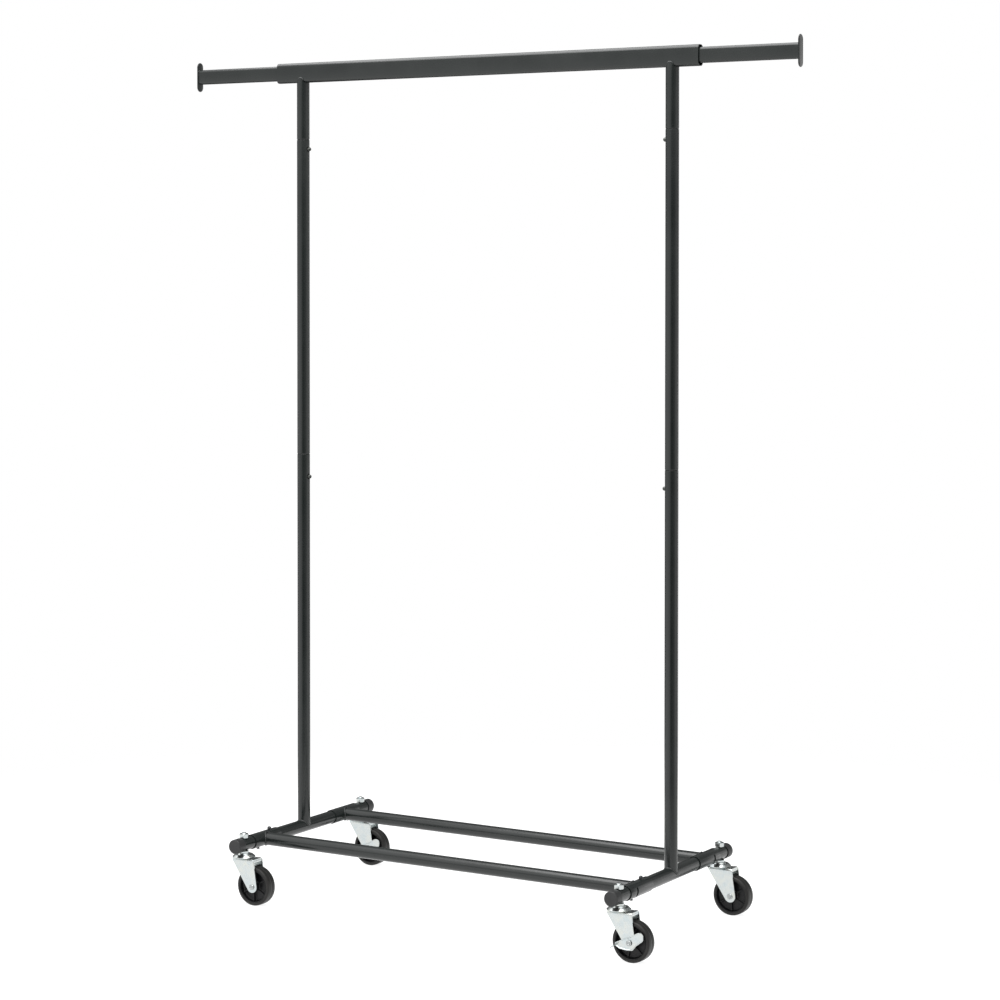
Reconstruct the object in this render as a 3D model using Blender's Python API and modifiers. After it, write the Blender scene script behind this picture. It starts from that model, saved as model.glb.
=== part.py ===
"""Rolling clothes rack: a tube base on four swivel casters, two three-part uprights and a hang bar
with a sliding arm at each end. Metres, +Z up, X along the bar, origin on the floor at the middle."""

from math import acos, atan2, cos, hypot, pi, radians, sin, sqrt

import bmesh
import bpy
from mathutils import Vector

GAP = 0.0003
ROUND = 24
SMALL_ROUND = 12

# Base tubes
POST_X = 0.420
RAIL_Y = 0.140
BASE_Z = 0.1165
TUBE_R = 0.0127
TUBE_WALL = 0.0012
BORE_R = TUBE_R - TUBE_WALL
BASE_DEPTH = 0.476
SLEEVE_R = 0.0143
SLEEVE_BORE_R = TUBE_R + GAP
SLEEVE_LENGTH = 0.086
RAIL_END = 0.002

# Plastic caps that slip over the ends of the base tubes
CAP_R = 0.0141
CAP_LENGTH = 0.020
CAP_END = 0.002
CAP_EDGE = 0.001

# Fold guide: a pin in the base tube that runs in a quarter-turn slot of the sleeve
PIN_Y = RAIL_Y + 0.0187
PIN_R = 0.0025
PIN_REACH = 0.0040
PIN_FLANGE_R = 0.0040
SLOT_START = radians(-102)
SLOT_END = radians(20)
SLOT_SECTOR_R = 0.020

# Uprights
LOWER_SEAM_Z = 0.8755
UPPER_SEAM_Z = 1.5135
SPIGOT_R = BORE_R - GAP
SPIGOT_BORE_R = SPIGOT_R - TUBE_WALL
LOWER_SPIGOT = 0.085
UPPER_SPIGOT = 0.065
SWAGE = 0.004
LOWER_BUTTON_Z = {"left": LOWER_SEAM_Z - 0.0455, "right": LOWER_SEAM_Z - 0.035}
UPPER_BUTTON_Z = UPPER_SEAM_Z - 0.019

# Snap buttons and their V springs
BUTTON_R = 0.0040
BUTTON_REACH = 0.0060
BUTTON_FLANGE_R = 0.0050
BUTTON_FLANGE = 0.0010
SLEEVE_BUTTON_Y = -(RAIL_Y - 0.019)
SPRING_WIDTH = 0.008
SPRING_SHEET = 0.0008
SPRING_LENGTH = 0.032
SPRING_PAD = 0.012
SPRING_BEND = 0.002

# Hang bar and sliding arms
BAR_LENGTH = 0.957
BAR_HEIGHT = 0.040
BAR_DEPTH = 0.020
BAR_CORNER = 0.007
BAR_BOTTOM_Z = 1.6295
BAR_Z = BAR_BOTTOM_Z + BAR_HEIGHT / 2
BAR_WALL = 0.0012
NOTCH_LIP = 0.0095
ARM_HEIGHT = 0.030
ARM_DEPTH = 0.014
ARM_CORNER = 0.0055
ARM_LENGTH = 0.320
ARM_REACH = 0.682
PLATE_HEIGHT = 0.060
PLATE_DEPTH = 0.019
PLATE_CORNER = PLATE_DEPTH / 2 - 0.0001
PLATE_SHEET = 0.002
GLIDE_LENGTH = 0.020
GLIDE_SPIGOT = 0.015
GLIDE_SLACK = 0.0003
GLIDE_CORNER = 0.0055
GLIDE_SPIGOT_CORNER = 0.004

# Casters, measured from the axis of the stem
CASTER_Y = 0.206
TRAIL = 0.030
WHEEL_R = 0.0381
WHEEL_HALF_WIDTH = 0.0122
TREAD_SHOULDER = 0.0025
RIM_R = 0.0305
WEB_HALF_WIDTH = 0.004
HUB_HALF_WIDTH = 0.0124
HUB_R = 0.009
HUB_FOOT_R = 0.0098
AXLE_R = 0.003
AXLE_HEAD_R = 0.0055
AXLE_HEAD = 0.002
AXLE_EDGE = 0.0008
STEM_R = 0.005
STEM_TIP_Z = 0.140
NUT_ACROSS_FLATS = 0.017
NUT_HEIGHT = 0.008
COLLAR_R = 0.0095
COLLAR_HEIGHT = 0.0035
RACE_TOP_R = 0.0125
RACE_TOP = 0.0040
RACE_R = 0.0225
RACE_SHOULDER = 0.0085
CROWN_Z = 0.089
FORK_SHEET = 0.0025
FORK_INSIDE = 0.013
KINGPIN_R = 0.007
KINGPIN_HEAD_R = 0.011
KINGPIN_HEAD = 0.002
FORK_FRONT = -0.0185
FORK_BACK = 0.0335
FORK_END_R = 0.0115
CROWN_R = 0.021

# Brake lever: a stamped side plate on the axle with a foot tab
LEVER_SHEET = 0.002
LEVER_Y = -(FORK_INSIDE + FORK_SHEET + GAP + LEVER_SHEET / 2)
LEVER_TIP = (0.0045, 0.0336, 0.0032)
LEVER_HUB = (0.0285, 0.0366, 0.0125)
LEVER_LOBE = (0.0525, 0.0521, 0.0070)
TAB_LENGTH = 0.011
TAB_WIDTH = 0.0150
TAB_CORNER = 0.0025
TAB_SHEET = 0.0018
TAB_SLOPE = radians(15)
TAB_OVERLAP = 0.001

# Lengths of the cutters: across one wall, across a whole tube, a fork or a saddle
DRILL = 0.010
LONG_DRILL = 0.050
OVERCUT = 0.004

# Turns that carry local Z, the axis of a turned or extruded piece, to a world axis
ALONG_X = (0, pi / 2, 0)
AGAINST_X = (0, -pi / 2, 0)
ALONG_Y = (-pi / 2, 0, 0)
AGAINST_Z = (pi, 0, 0)
LEGS_ALONG_Y = (0, 0, pi / 2)
UPRIGHT = (pi / 2, 0, 0)

SIDES = {"left": -1, "right": 1}
ENDS = {"front": -1, "back": 1}


def clear_scene():
    for obj in list(bpy.data.objects):
        bpy.data.objects.remove(obj, do_unlink=True)


def new_collection(name, hidden=False):
    collection = bpy.data.collections.new(name)
    bpy.context.scene.collection.children.link(collection)
    collection.hide_render = hidden
    return collection


def make_material(name, colour, metallic, roughness):
    material = bpy.data.materials.new(name)
    material.use_nodes = True
    shader = material.node_tree.nodes["Principled BSDF"]
    shader.inputs["Base Color"].default_value = (*colour, 1)
    shader.inputs["Metallic"].default_value = metallic
    shader.inputs["Roughness"].default_value = roughness
    material.diffuse_color = (*colour, 1)
    return material


clear_scene()
RACK = new_collection("rolling_clothes_rack")
CUTTERS = new_collection("cutters", hidden=True)
COATING = make_material("grey_powder_coat", (0.065, 0.068, 0.068), 0.25, 0.38)
ZINC = make_material("bright_zinc", (0.78, 0.80, 0.80), 1.0, 0.28)
BLACK_STEEL = make_material("black_steel", (0.05, 0.05, 0.055), 0.5, 0.35)
SPRING_STEEL = make_material("spring_steel", (0.45, 0.45, 0.46), 1.0, 0.35)
CAP_PLASTIC = make_material("cap_plastic", (0.07, 0.07, 0.075), 0.0, 0.5)
GLIDE_PLASTIC = make_material("glide_plastic", (0.03, 0.03, 0.03), 0.0, 0.45)
WHEEL_PLASTIC = make_material("wheel_plastic", (0.025, 0.025, 0.028), 0.0, 0.42)


def place(obj, material, location=(0, 0, 0), rotation=(0, 0, 0)):
    obj.location = location
    obj.rotation_euler = rotation
    if material is None:
        CUTTERS.objects.link(obj)
        obj.hide_render = True
        obj.display_type = "WIRE"
    else:
        RACK.objects.link(obj)
        obj.data.materials.append(material)
    return obj


def smooth(mesh):
    mesh.shade_smooth()
    mesh.set_sharp_from_angle(angle=radians(35))


def turned(name, profile, material, location, rotation=(0, 0, 0), steps=ROUND, hollow=False):
    """A turned piece. The profile is (radius, height), down the outer side from the top."""
    mesh = bpy.data.meshes.new(name)
    edges = [(i, i + 1) for i in range(len(profile) - 1)]
    if hollow:
        edges.append((len(profile) - 1, 0))
    mesh.from_pydata([(radius, 0, height) for radius, height in profile], edges, [])
    obj = place(bpy.data.objects.new(name, mesh), material, location, rotation)
    screw = obj.modifiers.new("turn", "SCREW")
    screw.steps = screw.render_steps = steps
    screw.use_merge_vertices = True
    screw.merge_threshold = 0.00001
    screw.use_smooth_shade = True
    return obj


def pipe(name, outer, inner, length, material, location, rotation=(0, 0, 0)):
    """A straight tube whose lower end is at its location."""
    profile = [(outer, length), (outer, 0), (inner, 0), (inner, length)]
    return turned(name, profile, material, location, rotation, hollow=True)


def rod(name, radius, length, location, rotation=(0, 0, 0), steps=ROUND, material=None):
    """A plain cylinder about its location, a cutter unless it has a material."""
    mesh = bpy.data.meshes.new(name)
    bm = bmesh.new()
    bmesh.ops.create_cone(
        bm, cap_ends=True, segments=steps, radius1=radius, radius2=radius, depth=length
    )
    bm.to_mesh(mesh)
    bm.free()
    smooth(mesh)
    return place(bpy.data.objects.new(name, mesh), material, location, rotation)


def drill(name, shank, location, rotation=(0, 0, 0), length=DRILL):
    """The cutter for the hole that a round shank passes through with a small gap."""
    return rod(name, shank + GAP, length, location, rotation, SMALL_ROUND)


def prism(name, outlines, thickness, material, location=(0, 0, 0), rotation=(0, 0, 0)):
    """A flat outline, or an outline with holes, extruded along local Z about its location."""
    curve = bpy.data.curves.new(name, "CURVE")
    curve.dimensions = "2D"
    curve.fill_mode = "BOTH"
    curve.extrude = thickness / 2
    for outline in outlines:
        spline = curve.splines.new("POLY")
        spline.points.add(len(outline) - 1)
        for point, (x, y) in zip(spline.points, outline):
            point.co = (x, y, 0, 1)
        spline.use_cyclic_u = True
    guide = bpy.data.objects.new(name + "_outline", curve)
    RACK.objects.link(guide)
    evaluated = guide.evaluated_get(bpy.context.evaluated_depsgraph_get())
    mesh = bpy.data.meshes.new_from_object(evaluated)
    bpy.data.objects.remove(guide)
    mesh.materials.clear()
    bm = bmesh.new()
    bm.from_mesh(mesh)
    bmesh.ops.remove_doubles(bm, verts=bm.verts, dist=0.000001)
    bmesh.ops.recalc_face_normals(bm, faces=bm.faces)
    bm.to_mesh(mesh)
    bm.free()
    smooth(mesh)
    mesh.name = name
    return place(bpy.data.objects.new(name, mesh), material, location, rotation)


def boolean(obj, other, operation="DIFFERENCE"):
    modifier = obj.modifiers.new(other.name, "BOOLEAN")
    modifier.operation = operation
    modifier.object = other
    return obj


def arc(centre, radius, start, end, steps):
    """Points from angle start to angle end, both included."""
    turns = [start + (end - start) * i / steps for i in range(steps + 1)]
    return [(centre[0] + radius * cos(a), centre[1] + radius * sin(a)) for a in turns]


def circle(centre, radius, steps=SMALL_ROUND):
    return arc(centre, radius, 0, 2 * pi, steps)[:-1]


def rounded_rectangle(width, height, corner, steps=3):
    points = []
    for quarter, (sx, sy) in enumerate([(1, 1), (-1, 1), (-1, -1), (1, -1)]):
        centre = (sx * (width / 2 - corner), sy * (height / 2 - corner))
        points += arc(centre, corner, quarter * pi / 2, (quarter + 1) * pi / 2, steps)
    return points


def tapered_strap(first, second, steps=6):
    """The outline round two discs, each (x, y, radius), and their outer tangents."""
    along = atan2(second[1] - first[1], second[0] - first[0])
    distance = hypot(second[0] - first[0], second[1] - first[1])
    lean = acos((first[2] - second[2]) / distance)
    far_side = arc(second[:2], second[2], along - lean, along + lean, steps)
    near_side = arc(first[:2], first[2], along + lean, along - lean + 2 * pi, steps)
    return far_side + near_side


def snap_button(name, material, centre, rotation, bore, surface):
    """A domed button on its flange, held out through the tube wall. Its axis is local Z."""
    flange_top = sqrt(bore**2 - BUTTON_FLANGE_R**2) - GAP
    tip = surface + BUTTON_REACH
    dome = arc((0, tip - BUTTON_R), BUTTON_R, pi / 2, 0, 3)
    profile = dome + [
        (BUTTON_R, flange_top),
        (BUTTON_FLANGE_R, flange_top),
        (BUTTON_FLANGE_R, flange_top - BUTTON_FLANGE),
        (0, flange_top - BUTTON_FLANGE),
    ]
    turned(name, profile, material, centre, rotation, SMALL_ROUND)
    return flange_top - BUTTON_FLANGE


def v_spring(name, centre, rotation, bore, pad, direction):
    """A bent strip behind a button: a pad under it, a bend, and a leg against the far wall."""
    pad_z = pad - GAP - SPRING_SHEET / 2
    wall_z = sqrt(bore**2 - (SPRING_WIDTH / 2) ** 2) - GAP - SPRING_SHEET
    bend_z = (pad_z - wall_z) / 2
    route = [
        (-SPRING_PAD / 2, pad_z),
        (SPRING_PAD / 2, pad_z),
        (SPRING_LENGTH - SPRING_BEND, bend_z + SPRING_BEND * 0.75),
        (SPRING_LENGTH, bend_z),
        (SPRING_LENGTH - SPRING_BEND, bend_z - SPRING_BEND * 0.75),
        (-SPRING_PAD / 2, -wall_z),
    ]
    mesh = bpy.data.meshes.new(name)
    bm = bmesh.new()
    row = [bm.verts.new((direction * x, -SPRING_WIDTH / 2, z)) for x, z in route]
    edges = [bm.edges.new(pair) for pair in zip(row, row[1:])]
    strip = bmesh.ops.extrude_edge_only(bm, edges=edges)["geom"]
    moved = [item for item in strip if isinstance(item, bmesh.types.BMVert)]
    bmesh.ops.translate(bm, verts=moved, vec=(0, SPRING_WIDTH, 0))
    bm.to_mesh(mesh)
    bm.free()
    obj = place(bpy.data.objects.new(name, mesh), SPRING_STEEL, centre, rotation)
    solidify = obj.modifiers.new("sheet", "SOLIDIFY")
    solidify.thickness = SPRING_SHEET
    solidify.offset = 0
    return obj


def base_rail(end):
    """A rail with a sleeve welded across each end, slotted for the guide pins."""
    name = f"{end}_base_rail"
    y = ENDS[end] * RAIL_Y
    rail = rod(name, TUBE_R, 2 * POST_X, (0, y, BASE_Z), ALONG_X, material=COATING)
    for side, x_sign in SIDES.items():
        centre = (x_sign * POST_X, y, BASE_Z)
        sleeve = rod(f"{end}_{side}_sleeve", SLEEVE_R, SLEEVE_LENGTH, centre, ALONG_Y)
        boolean(rail, sleeve, "UNION")
    bore_length = 2 * (POST_X - RAIL_END)
    boolean(rail, rod(f"{end}_rail_bore", BORE_R, bore_length, (0, y, BASE_Z), ALONG_X))
    for side, x_sign in SIDES.items():
        centre = (x_sign * POST_X, y, BASE_Z)
        through = SLEEVE_LENGTH + OVERCUT
        boolean(rail, rod(f"{end}_{side}_bore", SLEEVE_BORE_R, through, centre, ALONG_Y))
        boolean(rail, guide_slot(f"{end}_{side}_slot", x_sign, ENDS[end] * PIN_Y))
        if end == "front":
            top = (x_sign * POST_X, SLEEVE_BUTTON_Y, BASE_Z + SLEEVE_R)
            boolean(rail, drill(f"{end}_{side}_button_hole", BUTTON_R, top))


def guide_slot(name, x_sign, y):
    """A sector that cuts the sleeve's wall from under the pin to its outer side."""
    sector = [(0, 0)] + arc((0, 0), SLOT_SECTOR_R, SLOT_START, SLOT_END, 6)
    if x_sign < 0:
        sector = [(-x, z) for x, z in reversed(sector)]
    return prism(name, [sector], 2 * (PIN_R + GAP), None, (x_sign * POST_X, y, BASE_Z), UPRIGHT)


def base_end(side):
    """The tube under one upright, with its caps, guide pins and the casters' stem holes."""
    x = SIDES[side] * POST_X
    half = BASE_DEPTH / 2 - CAP_END - GAP
    tube = pipe(
        f"{side}_base_tube", TUBE_R, BORE_R, 2 * half, COATING, (x, -half, BASE_Z), ALONG_Y
    )
    hole = (x, SLEEVE_BUTTON_Y, BASE_Z + TUBE_R)
    boolean(tube, drill(f"{side}_tube_button_hole", BUTTON_R, hole))
    for end, y_sign in ENDS.items():
        stem_hole = (x, y_sign * CASTER_Y, BASE_Z)
        boolean(tube, drill(f"{end}_{side}_stem_hole", STEM_R, stem_hole, length=LONG_DRILL))
        pin_hole = (x, y_sign * PIN_Y, BASE_Z - TUBE_R)
        boolean(tube, drill(f"{end}_{side}_pin_hole", PIN_R, pin_hole))
        guide_pin(f"{end}_{side}_guide_pin", x, y_sign * PIN_Y)
        end_cap(f"{end}_{side}_end_cap", x, y_sign)


def guide_pin(name, x, y):
    """A round-headed pin through the tube's underside, with its flange inside the tube."""
    flange_top = sqrt(BORE_R**2 - PIN_FLANGE_R**2) - GAP
    tip = SLEEVE_R + PIN_REACH
    dome = arc((0, tip - PIN_R), PIN_R, pi / 2, 0, 3)
    profile = dome + [
        (PIN_R, flange_top),
        (PIN_FLANGE_R, flange_top),
        (PIN_FLANGE_R, flange_top - BUTTON_FLANGE),
        (0, flange_top - BUTTON_FLANGE),
    ]
    turned(name, profile, BLACK_STEEL, (x, y, BASE_Z), AGAINST_Z, SMALL_ROUND)


def end_cap(name, x, y_sign):
    """A cup over the tube's end, with its closed face outwards."""
    profile = [
        (0, CAP_LENGTH),
        (CAP_R - CAP_EDGE, CAP_LENGTH),
        (CAP_R, CAP_LENGTH - CAP_EDGE),
        (CAP_R, 0),
        (SLEEVE_BORE_R, 0),
        (SLEEVE_BORE_R, CAP_LENGTH - CAP_END),
        (0, CAP_LENGTH - CAP_END),
    ]
    rotation = (-y_sign * pi / 2, 0, 0)
    location = (x, y_sign * (BASE_DEPTH / 2 - CAP_LENGTH), BASE_Z)
    turned(name, profile, CAP_PLASTIC, location, rotation)


def upright(side):
    """Lower tube on the base tube, middle tube, and the leg of the hang bar above it."""
    x = SIDES[side] * POST_X
    inward = -SIDES[side]
    rotation = ALONG_X if inward > 0 else AGAINST_X
    length = LOWER_SEAM_Z - BASE_Z
    lower = pipe(f"{side}_lower_upright", TUBE_R, BORE_R, length, COATING, (x, 0, BASE_Z))
    saddle = rod(f"{side}_saddle", TUBE_R + GAP, LONG_DRILL, (x, 0, BASE_Z), ALONG_Y)
    boolean(lower, saddle)
    middle = spigot_tube(f"{side}_middle_upright", LOWER_SEAM_Z, UPPER_SEAM_Z, LOWER_SPIGOT, x)
    leg_top = BAR_BOTTOM_Z + NOTCH_LIP
    leg = spigot_tube(f"{side}_bar_leg", UPPER_SEAM_Z, leg_top, UPPER_SPIGOT, x)
    grown = 2 * GAP
    notch = rounded_rectangle(BAR_HEIGHT + grown, BAR_DEPTH + grown, BAR_CORNER + GAP)
    boolean(leg, prism(f"{side}_notch", [notch], LONG_DRILL, None, (x, 0, BAR_Z), ALONG_X))
    joints = {
        "lower": (LOWER_BUTTON_Z[side], lower, middle),
        "upper": (UPPER_BUTTON_Z, middle, leg),
    }
    for level, (z, outer, inner) in joints.items():
        name = f"{side}_{level}_button"
        hole_x = x + inward * TUBE_R
        for tube in (outer, inner):
            hole = (hole_x, 0, z)
            boolean(tube, drill(f"{tube.name}_{level}_hole", BUTTON_R, hole, ALONG_X))
        pad = snap_button(name, ZINC, (x, 0, z), rotation, SPIGOT_BORE_R, TUBE_R)
        v_spring(f"{name}_spring", (x, 0, z), rotation, SPIGOT_BORE_R, pad, inward)


def spigot_tube(name, seam, top, spigot, x):
    """A tube with a narrower swaged end that goes down into the tube below."""
    bottom = seam - spigot
    profile = [
        (TUBE_R, top),
        (TUBE_R, seam + GAP),
        (SPIGOT_R, seam + GAP),
        (SPIGOT_R, bottom),
        (SPIGOT_BORE_R, bottom),
        (SPIGOT_BORE_R, seam + GAP + SWAGE / 2),
        (BORE_R, seam + GAP + SWAGE),
        (BORE_R, top),
    ]
    return turned(name, profile, COATING, (x, 0, 0), hollow=True)


def hang_bar():
    outer = rounded_rectangle(BAR_HEIGHT, BAR_DEPTH, BAR_CORNER)
    inside = BAR_HEIGHT - 2 * BAR_WALL, BAR_DEPTH - 2 * BAR_WALL
    inner = rounded_rectangle(*inside, BAR_CORNER - BAR_WALL)
    prism("hang_bar", [outer, inner], BAR_LENGTH, COATING, (0, 0, BAR_Z), ALONG_X)
    for side in SIDES:
        arm(side, inside)


def arm(side, bar_inside):
    """A smaller tube that slides out of the bar, its end plate, and its glide inside the bar."""
    sign = SIDES[side]
    outer = rounded_rectangle(ARM_HEIGHT, ARM_DEPTH, ARM_CORNER)
    inside = ARM_HEIGHT - 2 * BAR_WALL, ARM_DEPTH - 2 * BAR_WALL
    inner = rounded_rectangle(*inside, ARM_CORNER - BAR_WALL)
    arm_end = ARM_REACH - PLATE_SHEET - GAP
    middle = sign * (arm_end - ARM_LENGTH / 2)
    prism(f"{side}_arm", [outer, inner], ARM_LENGTH, COATING, (middle, 0, BAR_Z), ALONG_X)
    plate = rounded_rectangle(PLATE_HEIGHT, PLATE_DEPTH, PLATE_CORNER, 6)
    plate_x = sign * (ARM_REACH - PLATE_SHEET / 2)
    prism(f"{side}_arm_end_plate", [plate], PLATE_SHEET, COATING, (plate_x, 0, BAR_Z), ALONG_X)
    slack = 2 * GLIDE_SLACK
    block = rounded_rectangle(bar_inside[0] - slack, bar_inside[1] - slack, GLIDE_CORNER)
    block_x = sign * (arm_end - ARM_LENGTH - GAP - GLIDE_LENGTH / 2)
    block_at = (block_x, 0, BAR_Z)
    glide = prism(f"{side}_arm_glide", [block], GLIDE_LENGTH, GLIDE_PLASTIC, block_at, ALONG_X)
    plug = rounded_rectangle(inside[0] - slack, inside[1] - slack, GLIDE_SPIGOT_CORNER)
    plug_length = GLIDE_SPIGOT + GLIDE_LENGTH / 2
    plug_x = block_x + sign * plug_length / 2
    spigot = prism(f"{side}_glide_spigot", [plug], plug_length, None, (plug_x, 0, BAR_Z), ALONG_X)
    boolean(glide, spigot, "UNION")


def caster(end, side, braked):
    x = SIDES[side] * POST_X
    y = ENDS[end] * CASTER_Y
    prefix = f"{end}_{side}_caster"
    caster_head(f"{prefix}_head", x, y)
    corner_r = NUT_ACROSS_FLATS / sqrt(3)
    nut_z = BASE_Z + TUBE_R + GAP + NUT_HEIGHT / 2
    hexagon = [circle((0, 0), corner_r, 6), circle((0, 0), STEM_R + GAP)]
    prism(f"{prefix}_nut", hexagon, NUT_HEIGHT, ZINC, (x, y, nut_z))
    fork(f"{prefix}_fork", x, y)
    axle(f"{prefix}_axle", x + TRAIL, y, braked)
    wheel(f"{prefix}_wheel", x + TRAIL, y)
    if braked:
        brake_lever(f"{prefix}_brake_lever", x + TRAIL, y)


def caster_head(name, x, y):
    """Threaded stem, collar, ball race cover and the kingpin that the fork turns on."""
    crown_top = CROWN_Z + FORK_SHEET
    under_tube = BASE_Z - TUBE_R - GAP
    profile = [
        (0, STEM_TIP_Z),
        (STEM_R, STEM_TIP_Z),
        (STEM_R, under_tube),
        (COLLAR_R, under_tube),
        (COLLAR_R, under_tube - COLLAR_HEIGHT),
        (RACE_TOP_R, under_tube - RACE_TOP),
        (RACE_R, under_tube - RACE_SHOULDER),
        (RACE_R, crown_top + GAP),
        (KINGPIN_R, crown_top + GAP),
        (KINGPIN_R, CROWN_Z - GAP),
        (KINGPIN_HEAD_R, CROWN_Z - GAP),
        (KINGPIN_HEAD_R, CROWN_Z - GAP - KINGPIN_HEAD),
        (0, CROWN_Z - GAP - KINGPIN_HEAD),
    ]
    turned(name, profile, ZINC, (x, y, 0), steps=20)


def fork(name, x, y):
    """A stamped fork: a crown plate with a leg on each side of the wheel."""
    crown_top = CROWN_Z + FORK_SHEET
    half = FORK_INSIDE + FORK_SHEET
    crown = [
        (FORK_FRONT, -half),
        (FORK_BACK, -half),
        (FORK_BACK, half),
        (FORK_FRONT, half),
    ]
    crown_z = CROWN_Z + FORK_SHEET / 2
    body = prism(name, [crown], FORK_SHEET, ZINC, (x, y, crown_z))
    boolean(body, rod(f"{name}_disc", CROWN_R, FORK_SHEET, (x, y, crown_z)), "UNION")
    end_disc = (TRAIL, WHEEL_R, FORK_END_R)
    outline = [(FORK_BACK, crown_top), (FORK_FRONT, crown_top)]
    outline += fork_end(end_disc, outline[1], outline[0])
    for label, sign in (("near", -1), ("far", 1)):
        leg_y = y + sign * (FORK_INSIDE + FORK_SHEET / 2)
        leg = prism(f"{name}_{label}_leg", [outline], FORK_SHEET, None, (x, leg_y, 0), UPRIGHT)
        boolean(body, leg, "UNION")
    boolean(body, rod(f"{name}_kingpin_hole", KINGPIN_R + GAP, DRILL, (x, y, crown_z), steps=20))
    axle_at = (x + TRAIL, y, WHEEL_R)
    boolean(body, drill(f"{name}_axle_hole", AXLE_R, axle_at, ALONG_Y, LONG_DRILL))


def fork_end(disc, first, last):
    """The round end of a leg, between the tangents from its two upper corners."""
    centre = Vector(disc[:2])
    turns = []
    for corner, hand in ((first, 1), (last, -1)):
        towards = Vector(corner) - centre
        turns.append(atan2(towards.y, towards.x) + hand * acos(disc[2] / towards.length))
    return arc(disc[:2], disc[2], turns[0], turns[1] + 2 * pi, 8)


def axle(name, x, y, braked):
    """A rivet through the fork and the wheel, and through the brake lever if there is one."""
    far = FORK_INSIDE + FORK_SHEET + GAP
    near = far + (LEVER_SHEET + GAP if braked else 0)
    profile = [
        (0, far + AXLE_HEAD),
        (AXLE_HEAD_R - AXLE_EDGE, far + AXLE_HEAD),
        (AXLE_HEAD_R, far + AXLE_HEAD - AXLE_EDGE),
        (AXLE_HEAD_R, far),
        (AXLE_R, far),
        (AXLE_R, -near),
        (AXLE_HEAD_R, -near),
        (AXLE_HEAD_R, -near - AXLE_HEAD + AXLE_EDGE),
        (AXLE_HEAD_R - AXLE_EDGE, -near - AXLE_HEAD),
        (0, -near - AXLE_HEAD),
    ]
    turned(name, profile, ZINC, (x, y, WHEEL_R), ALONG_Y, SMALL_ROUND)


def wheel(name, x, y):
    """A moulded wheel: crowned tread, recessed web on both faces, and a bored hub."""
    tread_centre = (WHEEL_R - TREAD_SHOULDER, WHEEL_HALF_WIDTH - TREAD_SHOULDER)
    tread = arc(tread_centre, TREAD_SHOULDER, pi / 2, 0, 2)
    face = [
        (HUB_R, HUB_HALF_WIDTH),
        (HUB_FOOT_R, WEB_HALF_WIDTH),
        (RIM_R - (HUB_FOOT_R - HUB_R), WEB_HALF_WIDTH),
        (RIM_R, WHEEL_HALF_WIDTH),
    ]
    half = [(AXLE_R + GAP, HUB_HALF_WIDTH)] + face + tread
    profile = half + [(radius, -height) for radius, height in reversed(half)]
    turned(name, profile, WHEEL_PLASTIC, (x, y, WHEEL_R), ALONG_Y, hollow=True)


def brake_lever(name, x, y):
    """A side plate that turns on the axle, with a tab bent out for the foot."""
    tip, hub, lobe = [
        (across - TRAIL, up - WHEEL_R, radius)
        for across, up, radius in (LEVER_TIP, LEVER_HUB, LEVER_LOBE)
    ]
    plate_at = (x, y + LEVER_Y, WHEEL_R)
    plate = prism(name, [tapered_strap(tip, hub)], LEVER_SHEET, ZINC, plate_at, UPRIGHT)
    lobe_outline = tapered_strap(hub, lobe)
    boolean(
        plate, prism(f"{name}_lobe", [lobe_outline], LEVER_SHEET, None, plate_at, UPRIGHT), "UNION"
    )
    tab = rounded_rectangle(TAB_LENGTH, TAB_WIDTH, TAB_CORNER)
    reach = TAB_WIDTH / 2 - TAB_OVERLAP
    tab_at = (
        x + tip[0] + TAB_LENGTH / 2 - TAB_OVERLAP,
        y + LEVER_Y - LEVER_SHEET / 2 - reach * cos(TAB_SLOPE),
        WHEEL_R + tip[1] - reach * sin(TAB_SLOPE),
    )
    sloped = prism(f"{name}_tab", [tab], TAB_SHEET, None, tab_at, (TAB_SLOPE, 0, 0))
    boolean(plate, sloped, "UNION")
    boolean(plate, drill(f"{name}_hole", AXLE_R, (x, y + LEVER_Y, WHEEL_R), ALONG_Y))


def sleeve_lock(side):
    """The snap button that locks an upright's base tube in the front rail's sleeve."""
    centre = (SIDES[side] * POST_X, SLEEVE_BUTTON_Y, BASE_Z)
    name = f"{side}_sleeve_button"
    pad = snap_button(name, BLACK_STEEL, centre, LEGS_ALONG_Y, BORE_R, SLEEVE_R)
    v_spring(f"{name}_spring", centre, LEGS_ALONG_Y, BORE_R, pad, 1)


for end in ENDS:
    base_rail(end)
for side in SIDES:
    base_end(side)
    sleeve_lock(side)
    upright(side)
    for end in ENDS:
        caster(end, side, braked=(end, side) in {("front", "right"), ("back", "left")})
hang_bar()
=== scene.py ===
"""The looks of the rolling clothes rack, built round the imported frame. Metres, +Z up."""

from math import acos, atan2, copysign, cos, hypot, pi, radians, sin, sqrt, tan

import bmesh
import bpy
from mathutils import Matrix, Vector


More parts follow.
